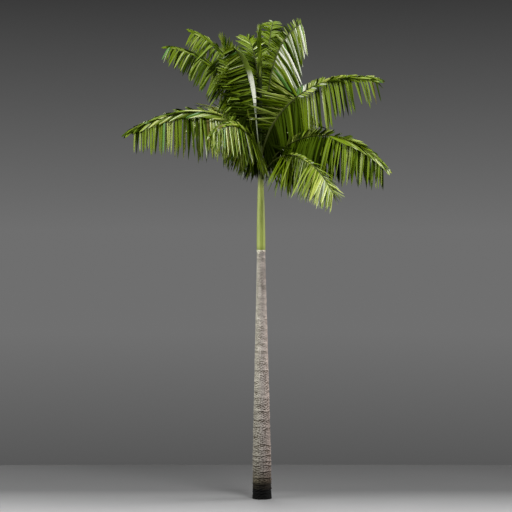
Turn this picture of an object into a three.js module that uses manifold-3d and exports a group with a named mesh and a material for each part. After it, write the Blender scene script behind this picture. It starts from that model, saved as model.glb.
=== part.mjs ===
// An imperial palm: a grey ringed trunk, a smooth green crownshaft, a spear leaf and arching feather fronds.
// Units are millimetres, +Z is up, and the origin is the middle of the flat cut at ground level.
import * as THREE from "three";
import { mergeVertices } from "three/addons/utils/BufferGeometryUtils.js";
import Module from "manifold-3d";

const wasm = await Module();
wasm.setup();

// Clearances
const GAP = 0.3; // between two solids that meet
const LEAF_ROOM = 3; // left free round each leaflet
const FINEST = 0.05; // edges shorter than this are closed up

// Trunk: straight taper above a thicker foot, with a root flare at the ground
const TRUNK_HEIGHT = 6200;
const FOOT_RADIUS = 229;
const FOOT_SHARE = 0.15; // of the trunk's height, before the taper begins
const NECK_RADIUS = 98;
const FLARE = 16;
const FLARE_REACH = 140;
const COLLAR_HEIGHT = 45; // the pale scar ring under the crownshaft
const COLLAR_PROUD = 9;
const TRUNK_RINGS = 14;
const RING_CROWDING = 1.5; // above 1, the trunk's rings lie closer near the ground
const ROUND_SIDES = 20;
const LEAN = 30; // towards -X, at the crownshaft's shoulder

// Crownshaft: rolled leaf sheaths, and the hidden heart above that the fronds stand on
const SHEATH_RADIUS = 107;
const SHEATH_SWELL = 4;
const SHEATH_RINGS = 6;
const SHEATH_TAPER = 1.4; // above 1, the taper is stronger towards the shoulder
const SHOULDER_HEIGHT = 7900;
const SHOULDER_RADIUS = 72;
const HEART_HEIGHT = 8800;
const HEART_RADIUS = 46;

// Spear: the young unopened leaf at the centre
const SPEAR_TOP = 11890;
const SPEAR_FOOT_RADIUS = 32;
const SPEAR_SWELL = 22; // more than that at its widest
const SPEAR_TIP_X = -75;
const SPEAR_SIDES = 8;

// Midribs
const STALK_HALF_WIDTH = 30;
const STALK_HALF_DEPTH = 22;
const MIDRIB_TIP = 8;
const MIDRIB_TAPER = 0.8;
const MIDRIB_SIDES = 4;
const MIDRIB_STEPS = 11;
const CURVE_STEPS = 48;
const SPLIT_TURN = 85; // degrees of arch past which a frond is two solids, parted at its bend

// Leaflets
const LEAFLETS_PER_SIDE = 20;
const LEAFLET_LENGTH_LOW = 1260; // the longest on an arching frond
const LEAFLET_LENGTH_HIGH = 1000; // and on an upright one
const LEAFLET_WIDTH = 138; // of a leaflet of the first length
const LEAFLET_ROOT = 0.2; // root's size over the widest place's
const LEAFLET_DEPTH = 0.015; // ridge height over length
const FIRST_LEAFLET = 0.13; // share of the midrib that is bare stalk
const LONGEST_AT = 0.4;
const FOOT_SHORTER = 0.4; // share of the length that the first leaflets lack
const TIP_SHORTER = 0.74; // and the last ones
const BEND_AT = 0.36; // share of a leaflet before it hangs
const FOOT_SPREAD = 76; // degrees between leaflet and midrib, near the stalk
const TIP_SPREAD = 26;
const RANKS = [26, -4, -24]; // degrees out of the blade's plane, one after another
const RANK_JITTER = 12;
const SPREAD_JITTER = 7;
const SHORTENED = [1, 0.8, 0.62, 0.45]; // lengths tried where a neighbour is in the way
const HANG_LOW = 4; // pull of gravity on the leaflets of an arching frond
const HANG_HIGH = 0.8; // and of an upright one
const HANG_BEFORE_BEND = 0.14; // share of that pull before the leaflet's bend
const UPRIGHT_PITCH = 75; // degrees halfway along, for a frond that counts as upright

// Fronds, the lowest first. heading is in degrees from +X towards +Y, rise is the height of the stalk's foot,
// pitch is the midrib's slope in degrees at the foot, halfway and at the tip, and roll is the blade's twist
// about its midrib halfway along.
const FRONDS = [
  { name: "right_low", heading: -18, rise: 7880, pitch: [77, 2, -50], length: 4050, roll: 0 },
  { name: "front_right_low", heading: -46, rise: 7820, pitch: [78, -16, -56], length: 3300, roll: 0 },
  { name: "back_right_low", heading: 55, rise: 8050, pitch: [80, 8, -44], length: 3860, roll: 0 },
  { name: "back_left_low", heading: 127, rise: 8180, pitch: [82, 22, -35], length: 3960, roll: 0 },
  { name: "back_low", heading: 91, rise: 8220, pitch: [80, 18, -45], length: 3860, roll: 0 },
  { name: "front_left_low", heading: 238, rise: 8160, pitch: [84, 16, -38], length: 2960, roll: 0 },
  { name: "left_low", heading: 190, rise: 8300, pitch: [90, 7, -30], length: 4200, roll: 0 },
  { name: "right_middle", heading: -8, rise: 8430, pitch: [83, 34, -14], length: 4020, roll: 60 },
  { name: "left_middle", heading: 170, rise: 8480, pitch: [75, 55, 6], length: 3980, roll: 0 },
  { name: "right_high", heading: 31, rise: 8480, pitch: [75, 80, 29], length: 3830, roll: 70 },
  { name: "front_high", heading: 227, rise: 8500, pitch: [72, 79, 31], length: 2930, roll: 0 },
  { name: "left_high", heading: 157, rise: 8520, pitch: [75, 66, 20], length: 3950, roll: 0 },
  { name: "back_left_high", heading: 116, rise: 8520, pitch: [69, 88, 33], length: 3310, roll: 0 },
  { name: "back_high", heading: 74, rise: 8600, pitch: [67, 78, 51], length: 3680, roll: 0 },
  { name: "front_left_high", heading: 204, rise: 8680, pitch: [71, 70, 60], length: 2850, roll: 0 },
];

// Colours
const BARK = new THREE.MeshStandardMaterial({ color: 0x9c9286, roughness: 0.9, metalness: 0 });
const SHEATH = new THREE.MeshStandardMaterial({ color: 0x7d8c34, roughness: 0.35, metalness: 0 });
const LEAF = new THREE.MeshStandardMaterial({ color: 0x56701c, roughness: 0.45, metalness: 0 });

const radians = THREE.MathUtils.degToRad;
const DOWN = new THREE.Vector3(0, 0, -1);

// A repeatable number from -1 to 1 for each whole number.
function jitter(n) {
  const wave = Math.sin(n * 12.9898 + 4.1414) * 43758.5453;
  return 2 * (wave - Math.floor(wave)) - 1;
}

// A closed three.js geometry as a solid that can be joined and cut.
function solidOf(geometry) {
  geometry.deleteAttribute("normal");
  geometry.deleteAttribute("uv");
  const merged = mergeVertices(geometry, 1e-3);
  const vertProperties = new Float32Array(merged.attributes.position.array);
  const triVerts = new Uint32Array(merged.index.array);
  return new wasm.Manifold(new wasm.Mesh({ numProp: 3, vertProperties, triVerts }));
}

function geometryOf(solid) {
  const mesh = solid.getMesh();
  const geometry = new THREE.BufferGeometry();
  geometry.setAttribute("position", new THREE.BufferAttribute(mesh.vertProperties, 3));
  geometry.setIndex(new THREE.BufferAttribute(mesh.triVerts, 1));
  geometry.computeVertexNormals();
  return geometry;
}

// The main body of a joined or cut solid, with loose scraps, sealed hollows and slivers left out.
function mainBody(solid) {
  const bodies = solid.simplify(FINEST).decompose();
  return bodies.reduce((best, body) => (body.volume() > best.volume() ? body : best));
}

// A closed limb: a cylinder or cone whose vertices are moved to section(share along it).
// section gives the centre, and the two half axes of the outline there.
function limb(sides, steps, pointed, section) {
  const turn = sides === 4 ? Math.PI / 4 : 0; // a four-sided limb lies on a flat side
  const geometry = new THREE.CylinderGeometry(pointed ? 0 : 1, 1, 1, sides, steps, false, turn);
  const position = geometry.attributes.position;
  const from = new THREE.Vector3();
  for (let i = 0; i < position.count; i++) {
    from.fromBufferAttribute(position, i);
    const { centre, across, over } = section(from.y + 0.5);
    const reach = Math.hypot(from.x, from.z);
    const to = centre.clone();
    if (reach > 1e-6) to.addScaledVector(across, from.x / reach).addScaledVector(over, from.z / reach);
    position.setXYZ(i, to.x, to.y, to.z);
  }
  return solidOf(geometry);
}

// Where the tree's leaning axis stands at a height.
function axisAt(height) {
  return new THREE.Vector3((-LEAN * height) / SHOULDER_HEIGHT, 0, height);
}

// A solid of revolution from [radius, height] rows, set on the leaning axis.
function turned(rows) {
  const foot = rows[0][1];
  const top = rows.at(-1)[1];
  const profile = [[0, foot], ...rows, [0, top]].map(([radius, height]) => new THREE.Vector2(radius, height));
  const geometry = new THREE.LatheGeometry(profile, ROUND_SIDES);
  geometry.rotateX(Math.PI / 2);
  geometry.applyMatrix4(new THREE.Matrix4().makeShear(0, 0, 0, 0, -LEAN / SHOULDER_HEIGHT, 0));
  return solidOf(geometry);
}

function trunkRadius(height) {
  const share = height / TRUNK_HEIGHT;
  const taper = Math.min(1, (1 - share) / (1 - FOOT_SHARE));
  return NECK_RADIUS + (FOOT_RADIUS - NECK_RADIUS) * taper + FLARE * Math.exp(-height / FLARE_REACH);
}

function trunk() {
  const shaft = TRUNK_HEIGHT - COLLAR_HEIGHT;
  const rows = [];
  for (let i = 0; i <= TRUNK_RINGS; i++) {
    const height = shaft * (i / TRUNK_RINGS) ** RING_CROWDING;
    rows.push([trunkRadius(height), height]);
  }
  const collar = trunkRadius(TRUNK_HEIGHT) + COLLAR_PROUD;
  rows.push([collar, shaft + COLLAR_HEIGHT / 3], [collar, TRUNK_HEIGHT]);
  return turned(rows);
}

// The crownshaft's sheaths and heart, larger all round by grow.
function crownshaft(grow) {
  const foot = TRUNK_HEIGHT + GAP;
  const rows = [];
  for (let i = 0; i <= SHEATH_RINGS; i++) {
    const share = i / SHEATH_RINGS;
    const taper = SHEATH_RADIUS + (SHOULDER_RADIUS - SHEATH_RADIUS) * share ** SHEATH_TAPER;
    const radius = taper + SHEATH_SWELL * Math.sin(Math.PI * share);
    rows.push([radius + grow, foot + (SHOULDER_HEIGHT - foot) * share]);
  }
  rows.push([HEART_RADIUS + grow, HEART_HEIGHT + grow]);
  return turned(rows);
}

// The spear leaf, larger all round by grow.
function spear(grow) {
  const foot = HEART_HEIGHT + GAP - grow;
  const length = SPEAR_TOP - foot;
  const start = axisAt(foot);
  return limb(SPEAR_SIDES, SPEAR_SIDES, true, (share) => {
    const swell = SPEAR_FOOT_RADIUS + SPEAR_SWELL * Math.sin(Math.PI * share);
    const radius = swell * (1 - share ** 5) + grow;
    return {
      centre: new THREE.Vector3(start.x + (SPEAR_TIP_X - start.x) * share, 0, foot + length * share),
      across: new THREE.Vector3(0, radius, 0),
      over: new THREE.Vector3(radius, 0, 0),
    };
  });
}

// The midrib's slope in degrees: a smooth curve through its foot, halfway and tip values.
function pitchAt(frond, share) {
  const [foot, halfway, tip] = frond.pitch;
  return (
    2 * foot * (share - 0.5) * (share - 1) + 4 * halfway * share * (1 - share) + 2 * tip * share * (share - 0.5)
  );
}

function directionAt(frond, share) {
  const pitch = radians(pitchAt(frond, share));
  const heading = radians(frond.heading);
  const level = Math.cos(pitch);
  return new THREE.Vector3(level * Math.cos(heading), level * Math.sin(heading), Math.sin(pitch));
}

// The midrib as a function of the share along it: its point, its direction, and the blade's side and upper way.
function midrib(frond) {
  const points = [axisAt(frond.rise)];
  for (let i = 0; i < CURVE_STEPS; i++) {
    const step = directionAt(frond, (i + 0.5) / CURVE_STEPS).multiplyScalar(frond.length / CURVE_STEPS);
    points.push(points[i].clone().add(step));
  }
  const curve = new THREE.CatmullRomCurve3(points);
  const heading = radians(frond.heading);
  const level = new THREE.Vector3(Math.sin(heading), -Math.cos(heading), 0);
  return (share) => {
    const along = directionAt(frond, share);
    const side = level.clone().applyAxisAngle(along, radians(frond.roll) * Math.sin(Math.PI * share));
    return { point: curve.getPoint(share), along, side, up: side.clone().cross(along) };
  };
}

// The share along a midrib where half of its turning is done.
function bendOf(frond) {
  const middle = (frond.pitch[0] + frond.pitch[2]) / 2;
  let share = 0;
  while (pitchAt(frond, share) > middle) share += 0.01;
  return share;
}

// A stretch of a frond's stalk and midrib, larger all round by grow.
function stalk(frond, from, to, grow) {
  const rib = midrib(frond);
  return limb(MIDRIB_SIDES, Math.ceil(MIDRIB_STEPS * (to - from)) + 1, false, (step) => {
    const share = from + (to - from) * step;
    const { point, side, up } = rib(share);
    const left = (1 - share) ** MIDRIB_TAPER;
    const half = (foot) => MIDRIB_TIP + (foot - MIDRIB_TIP) * left + grow;
    return {
      centre: point,
      across: side.multiplyScalar(Math.SQRT2 * half(STALK_HALF_WIDTH)),
      over: up.multiplyScalar(Math.SQRT2 * half(STALK_HALF_DEPTH)),
    };
  });
}

// How far a frond stands up, from 0 for one that arches over to 1.
function uprightness(frond) {
  return THREE.MathUtils.clamp(frond.pitch[1] / UPRIGHT_PITCH, 0, 1);
}

// A leaflet's length, by its frond and its place along the midrib.
function leafletLength(frond, share) {
  const longest = THREE.MathUtils.lerp(LEAFLET_LENGTH_LOW, LEAFLET_LENGTH_HIGH, uprightness(frond));
  if (share < LONGEST_AT) return longest * (1 - FOOT_SHORTER * (1 - share / LONGEST_AT) ** 2);
  return longest * (1 - TIP_SHORTER * ((share - LONGEST_AT) / (1 - LONGEST_AT)) ** 2);
}

// One leaflet: a three-sided blade that stands out from the midrib and then hangs.
function leaflet(frond, index, share, sign, shorten, room) {
  const { point, along, side, up } = midrib(frond)(share);
  const seed = frond.rise + 2 * index + (sign > 0 ? 1 : 0);
  const spread = radians(FOOT_SPREAD + (TIP_SPREAD - FOOT_SPREAD) * share + SPREAD_JITTER * jitter(seed));
  const rank = radians(RANKS[index % RANKS.length] + RANK_JITTER * jitter(seed + 500));
  const outward = side.multiplyScalar(sign * Math.cos(rank)).addScaledVector(up, Math.sin(rank));
  const hang = THREE.MathUtils.lerp(HANG_LOW, HANG_HIGH, uprightness(frond));
  const out = along.clone().multiplyScalar(Math.cos(spread)).addScaledVector(outward, Math.sin(spread));
  const first = out.clone().addScaledVector(DOWN, HANG_BEFORE_BEND * hang).normalize();
  const second = out.clone().addScaledVector(DOWN, hang).normalize();
  const length = leafletLength(frond, share) * shorten;
  const bend = point.clone().addScaledVector(first, length * BEND_AT);
  const tip = bend.clone().addScaledVector(second, length * (1 - BEND_AT) + room);
  const centres = [point, bend, tip];
  const sizes = [LEAFLET_ROOT, 1, 0];
  const middle = first.clone().add(second).normalize(); // square to the sections, so a sharp bend stays open
  const across = along.clone().addScaledVector(middle, -along.dot(middle)).normalize();
  const over = across.clone().cross(middle);
  const halfWidth = (LEAFLET_WIDTH * Math.sqrt(length / LEAFLET_LENGTH_LOW)) / Math.sqrt(3);
  const halfDepth = (LEAFLET_DEPTH * length) / 1.5;
  return limb(3, 2, true, (step) => {
    const i = Math.round(2 * step);
    return {
      centre: centres[i],
      across: across.clone().multiplyScalar(sizes[i] * halfWidth + room),
      over: over.clone().multiplyScalar(sizes[i] * halfDepth + room),
    };
  });
}

// The fronds' solids: each frond is one node, or two where it arches far over.
function frondNodes() {
  return FRONDS.flatMap((frond) => {
    const node = (name, from, to) => ({ name, frond, from, to, leaflets: [] });
    if (frond.pitch[0] - frond.pitch[2] < SPLIT_TURN) return [node(`frond_${frond.name}`, 0, 1)];
    const bend = bendOf(frond);
    const parting = GAP / frond.length;
    return [node(`frond_${frond.name}_inner`, 0, bend), node(`frond_${frond.name}_outer`, bend + parting, 1)];
  });
}

// Stalks, the youngest first: an older stalk is hollowed where a younger one or the heart fills its inner side.
function growStalks(nodes) {
  const heart = crownshaft(GAP).add(spear(GAP));
  const younger = [];
  for (const node of [...nodes].reverse()) {
    let solid = stalk(node.frond, node.from, node.to, 0).subtract(heart);
    for (const other of younger) if (other.frond !== node.frond) solid = solid.subtract(other.grown);
    node.stalk = mainBody(solid);
    younger.push({ frond: node.frond, grown: stalk(node.frond, node.from, node.to, GAP) });
  }
}

function boxesMeet(a, b) {
  return [0, 1, 2].every((i) => a.min[i] <= b.max[i] && b.min[i] <= a.max[i]);
}

// Leaflets, dealt out turn by turn to every frond so that they share the crown. One that meets anything but its
// own midrib is tried shorter, and is left out where no length is free.
function growLeaflets(nodes, others) {
  const taken = [];
  const take = (solid) => taken.push({ solid, box: solid.boundingBox() });
  const isFree = (leaf, stem) => {
    const box = leaf.boundingBox();
    const near = taken.filter((each) => each.solid !== stem && boxesMeet(each.box, box));
    return near.every((each) => leaf.intersect(each.solid).isEmpty());
  };
  others.forEach(take);
  nodes.forEach((node) => take(node.stalk));
  for (let index = LEAFLETS_PER_SIDE - 1; index >= 0; index--) {
    for (const node of nodes) {
      for (const sign of [1, -1]) {
        const place = (index + (sign > 0 ? 0.9 : 0.4)) / LEAFLETS_PER_SIDE;
        const share = FIRST_LEAFLET + (1 - FIRST_LEAFLET) * place;
        if (share <= node.from || share > node.to) continue;
        const grow = (shorten, room) => leaflet(node.frond, index, share, sign, shorten, room);
        const shorten = SHORTENED.find((each) => isFree(grow(each, LEAF_ROOM), node.stalk));
        if (!shorten) continue;
        const solid = grow(shorten, 0);
        node.leaflets.push(solid);
        take(solid);
      }
    }
  }
}

function addMesh(group, name, solid, material) {
  const mesh = new THREE.Mesh(geometryOf(solid), material);
  mesh.name = name;
  group.add(mesh);
}

function palm() {
  const tree = new THREE.Group();
  const crown = new THREE.Group();
  const sheaths = crownshaft(0);
  const youngLeaf = spear(0);
  const nodes = frondNodes();
  growStalks(nodes);
  growLeaflets(nodes, [sheaths, youngLeaf]);
  addMesh(tree, "trunk", trunk(), BARK);
  addMesh(tree, "crownshaft", sheaths, SHEATH);
  addMesh(crown, "spear_leaf", youngLeaf, LEAF);
  for (const node of nodes) {
    const solid = node.leaflets.reduce((whole, leaf) => whole.add(leaf), node.stalk);
    addMesh(crown, node.name, mainBody(solid), LEAF);
  }
  tree.add(crown);
  return tree;
}

export default palm();
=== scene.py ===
# The looks of an imperial palm round its solids: ringed bark, crownshaft, spear leaf, midribs and leaflets.
# Units are metres, +Z is up, and the origin is the middle of the flat cut at ground level.
import math
from collections import namedtuple

import bpy
import numpy as np
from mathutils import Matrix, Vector


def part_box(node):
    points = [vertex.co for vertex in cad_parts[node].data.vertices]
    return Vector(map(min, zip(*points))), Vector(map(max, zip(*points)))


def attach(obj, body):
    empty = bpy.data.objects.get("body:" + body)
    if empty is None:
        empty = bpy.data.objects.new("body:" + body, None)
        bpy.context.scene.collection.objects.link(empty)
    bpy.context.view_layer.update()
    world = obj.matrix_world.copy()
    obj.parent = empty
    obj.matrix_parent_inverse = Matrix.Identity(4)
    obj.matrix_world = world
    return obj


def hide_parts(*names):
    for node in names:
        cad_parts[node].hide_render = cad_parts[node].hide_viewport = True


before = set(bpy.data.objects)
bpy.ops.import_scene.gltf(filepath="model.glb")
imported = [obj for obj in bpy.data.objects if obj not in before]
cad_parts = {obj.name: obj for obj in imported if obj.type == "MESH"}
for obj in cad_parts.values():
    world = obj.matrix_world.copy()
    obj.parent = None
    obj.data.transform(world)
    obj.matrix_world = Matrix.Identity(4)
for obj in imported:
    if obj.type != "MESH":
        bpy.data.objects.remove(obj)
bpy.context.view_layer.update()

FULL_TURN = 2 * math.pi
WHITE = (1, 1, 1)

# Seeded waves: how many, their range of turns round the stem, and their range of radians to a metre up it
Waves = namedtuple("Waves", "count turns pitches")

# Trunk, as in the solids
TRUNK_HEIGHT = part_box("trunk")[1].z
FOOT_RADIUS = 0.229
FOOT_SHARE = 0.15  # of the height, below which the trunk doesn't taper
NECK_RADIUS = 0.098
FLARE = 0.016
FLARE_REACH = 0.14
COLLAR_HEIGHT = 0.045
COLLAR_PROUD = 0.009
LEAN = 0.03  # to the left, at the crownshaft's shoulder

# Bark relief. Pairs of depths, heights and spacings are at the ground and under the crownshaft.
BARK_SEED = 11
BARK_SIDES = 104
BARK_STEP = 0.008
RING_FIRST = 0.13
RING_SPACING = (0.13, 0.38)
RING_SPACING_JITTER = 0.4
RING_WANDER = 0.012
RING_WANDER_WAVES = Waves(4, (1, 3), (0, 0))
RING_STRENGTH = 0.75
RING_STRENGTH_JITTER = 0.35
RING_STRENGTH_LIMITS = (0.2, 1.4)
RING_STRENGTH_WAVES = Waves(4, (1, 4), (0, 0))
CREASE_DEPTH = (0.012, 0.003)
CREASE_BELOW = 0.03  # reach of a crease's lower slope
CREASE_ABOVE = 0.009
RIM_HEIGHT = (0.006, 0.0015)
RIM_ABOVE_CREASE = 0.022
RIM_HALF_WIDTH = 0.016
WRINKLE_DEPTH = (0.0045, 0.0027)
FLAT_WRINKLES = Waves(28, (2, 12), (70, 180))
FLAT_WRINKLE_SHARE = 0.55
STEEP_WRINKLES = Waves(28, (5, 13), (20, 75))
STEEP_WRINKLE_MIDDLE = 0.8  # taken off their height, so that they lie on both sides of the trunk's radius
PATCH_DEPTH = 1.1
PATCH_JITTER = 0.2
PATCH_LIMITS = (0.1, 1.5)
PATCH_WAVES = Waves(10, (1, 4), (1, 9))
FISSURE = 0.0008
FISSURE_WAVES = Waves(20, (14, 40), (2, 14))
COLLAR_WANDER = 0.011  # of its lower edge
COLLAR_WANDER_WAVES = Waves(6, (2, 11), (0, 0))
COLLAR_EASE = 0.25  # share of its height in which it rises
COLLAR_COVER = 0.6  # share of the relief that it smooths away

# Bark tones, from 0 in the deepest creases to 1 on the collar. The darkening in creases and wrinkle hollows
# is painted shade.
WRINKLE_TONE = 0.5
WRINKLE_PALEST = 0.7
TONE_DEPTHS = 3.5  # wrinkle depths from the darkest to the palest tone
# painted shade in the creases
CREASE_PAINTED_SHADE = (0.6, 0.12)  # at the ground and under the crownshaft
RIM_TONE = 0.2
COLLAR_STAIN = 0.034  # how far its pale colour runs down
COLLAR_TONE = 0.5
COLLAR_TONE_JITTER = 0.3
COLLAR_TONE_WAVES = Waves(8, (5, 16), (40, 90))

# Bark colours
# Painted side light and shade: paler and greener on the left, darker and pinker on the right
PAINTED_SIDE_LIGHT_HALF_WIDTH = 0.16  # over which the bark's colour changes from the left to the right
OLD_BARK_HEIGHT = 4  # as far as which the bark is darker
STAIN_HEIGHT = 0.9
STAIN_RAGGED = 0.14  # how far its upper edge strays, over its height

# Crownshaft, as in the solids
SHEATH_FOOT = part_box("crownshaft")[0].z
SHEATH_RADIUS = 0.107
SHEATH_SWELL = 0.004
SHEATH_TAPER = 1.4
SHOULDER_HEIGHT = 7.9
SHOULDER_RADIUS = 0.072
HEART_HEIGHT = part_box("crownshaft")[1].z
HEART_RADIUS = 0.046

# Crownshaft detail
SHEATH_SEED = 5
SHEATH_SIDES = 96
SHEATH_STEP = 0.016
SHEATH_OVERLAP = 0.0035
SHEATH_MARGINS = ((2.2, 0.22), (5.0, -0.16))  # angle at the foot, and turn in radians for each metre up
SHEATH_FIBRE = 0.0006
SHEATH_FIBRE_WAVES = Waves(24, (9, 34), (0, 1.5))
SHEATH_DARK_FOOT = 0.12  # height of its darker foot
# painted shade: the column goes dark into the crown between these heights
SHEATH_PAINTED_SHADE_HEIGHTS = (-0.15, 0.25)  # heights from the shoulder between which it goes dark

# Spear leaf, as in the solids
SPEAR_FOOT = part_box("spear_leaf")[0].z
SPEAR_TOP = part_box("spear_leaf")[1].z
SPEAR_FOOT_RADIUS = 0.032
SPEAR_SWELL = 0.022
SPEAR_TIP_X = -0.075
SPEAR_TAPER_POWER = 5

# Spear leaf detail
SPEAR_SIDES = 48
SPEAR_STEPS = 120
SPEAR_TAPER = 0.97  # how much narrower the tip is
SPEAR_PLEATS = 12
SPEAR_PLEAT_DEPTH = 0.2
SPEAR_TWIST = 2.4  # radians from foot to tip
SPEAR_LEAFLETS = 21
SPEAR_LEAFLET_FIRST = 0.4
SPEAR_LEAFLET_LAST = 0.88
SPEAR_LEAFLET_LENGTH = 0.62
SPEAR_LEAFLET_SHORTER = 0.05  # step in length of those that end at the tip
SPEAR_LEAFLET_WIDTH = 0.055
SPEAR_LEAFLET_LEAN = 5  # degrees at half its length
SPEAR_LEAFLET_ROOT = 0.5  # over the foot's radius
SPEAR_LEAFLET_TINTS = ("deep", "mid", "lime")
GOLDEN_ANGLE = math.radians(137.5)

# Midribs, as in the solids. Shares are of the midrib's length.
STALK_HALF_WIDTH = 0.03
STALK_HALF_DEPTH = 0.022
MIDRIB_TIP = 0.008
MIDRIB_TAPER = 0.8
CURVE_STEPS = 48

# Midrib detail
ROLL_WHOLE_FROM = 0.2  # share from which a rolled blade is turned in full
ROLL_EASE = 0.5  # share in which it turns back again
MIDRIB_SIDES = 10
MIDRIB_STEPS = 60
MIDRIB_CHANNEL = 0.45  # height of the flattened upper side over the rounded lower one
FOOT_WIDENING = 0.018
FOOT_WIDENING_REACH = 0.05
BROAD_FROND = "front_high"  # turns the pale back of its midrib to the front
BROAD_SWELL = 0.085  # of that back, where it is broadest
BROAD_FROM = 0.25  # share where it begins to swell
BROAD_EASE = 0.5  # share in which it swells
BROAD_TIP_EASE = 0.15  # share before the tip in which it narrows again
# Its pale middle is a painted highlight
BROAD_PAINTED_HIGHLIGHT_HEIGHTS = (8.5, 11.5)  # heights between which its colours change

# Leaflets, by the rule of the solids, more of them and finer. Pairs are for arching and for upright fronds.
LEAFLETS_PER_ROW = (156, 126)
LEAFLET_LENGTH = (1.26, 0.92)
LEAFLET_WIDTH = (0.056, 0.065)
LAST_LEAFLET = (0.95, 1)  # share of the midrib
LEAFLET_ROOT = 0.25  # width at the midrib over the full width
LEAFLET_SHOULDER = 0.22  # where the full width is reached
LEAFLET_TAPER_POWER = 3
LONGEST_AT = 0.4  # share of the midrib
FOOT_SHORTER = 0.7
TIP_SHORTER = (0.62, 0.5)
BEND_AT = 0.3  # share of a leaflet's length
HANG_BEFORE_BEND = 0.6
RANKS = (-24, 6, 20)  # degrees from the blade's plane, in turn along a row
RANK_SCALE = (1, 0.25)
HANGING_RANKS = (2, 1)  # how many of these hang under a band, before and from a frond's sparse share
UPRIGHT_PITCH = 75  # slope halfway, from which a frond is upright in full
LEAFLET_STEPS = 8
ABREAST = np.array([-1, -0.5, 0, 0.5, 1])  # points across a leaflet, over half the width
RIDGE_AT = 0.5  # of each half
LEAFLET_FOLD = 0.28  # slope of the two halves from the middle
LEAFLET_PLEAT = 0.06  # height of each half's own ridge over half the width
LEAFLET_TILT = 0.22  # radians, so that neighbours lie like shingles
LEAFLET_TWIST = 0.7  # radians at the tip, at most
COLUMN_ROOM = 0.012  # left free round the crownshaft
CROSSING = 0.5  # share of the crownshaft's radius, inside which a leaflet would cross it
ROW_SIGNS = (1, -1)  # of the right and the left row
ROW_STARTS = (0.9, 0.4)  # where in their steps the leaflets of each row stand
SPRAY = 2  # neighbouring leaflets of one tint
# Painted shade of the crown's heart: the tints deepen towards the stalks
PAINTED_SHADE_FROM = 0.15  # share of the midrib as far as which the tints are the deepest ones
PAINTED_SHADE_REACH = (0.42, 0.75)

# How far leaflets differ from each other
SPREAD_JITTER = (15, 7)
RANK_JITTER = 10
LENGTH_JITTER = 0.28
HANG_JITTER = 0.3
WIDTH_JITTER = 0.22

# Numbers that keep the seeds of fronds, rows, sprays and jitters apart
FROND_SEED = 1000
ROW_SEED = 3
SPRAY_SEED = 7
TINT_SEED = 40
LENGTH_SEED = 300
RANK_SEED = 500
HANG_SEED = 700
TWIST_SEED = 900
WIDTH_SEED = 1100

# From a frond's band outwards some leaflets lie along its midrib, over the feet of the others, which hang
BAND_RANKS = (50, -20)
BAND_LENGTH = 0.58
BAND_WIDTH = 0.066
BAND_SPREAD = 0.17
BAND_HANG = 0.1
# The band's tints take part of the heart's painted shade
BAND_PAINTED_SHADE = 0.25  # how far the heart's shade deepens its tints
UPPER_ROW = 0.25  # rise of a row's side way, above which none of its leaflets hang
UPPER_LENGTH = 0.5

# A few of those stand up as sprigs
SPRIG_EVERY = 4
SPRIG_RANK = 65
UPPER_SPRIG_RANK = 0
SPRIG_SPREAD = 0.45
SPRIG_LENGTH = 0.22
SPRIG_WIDTH = 0.05
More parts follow.
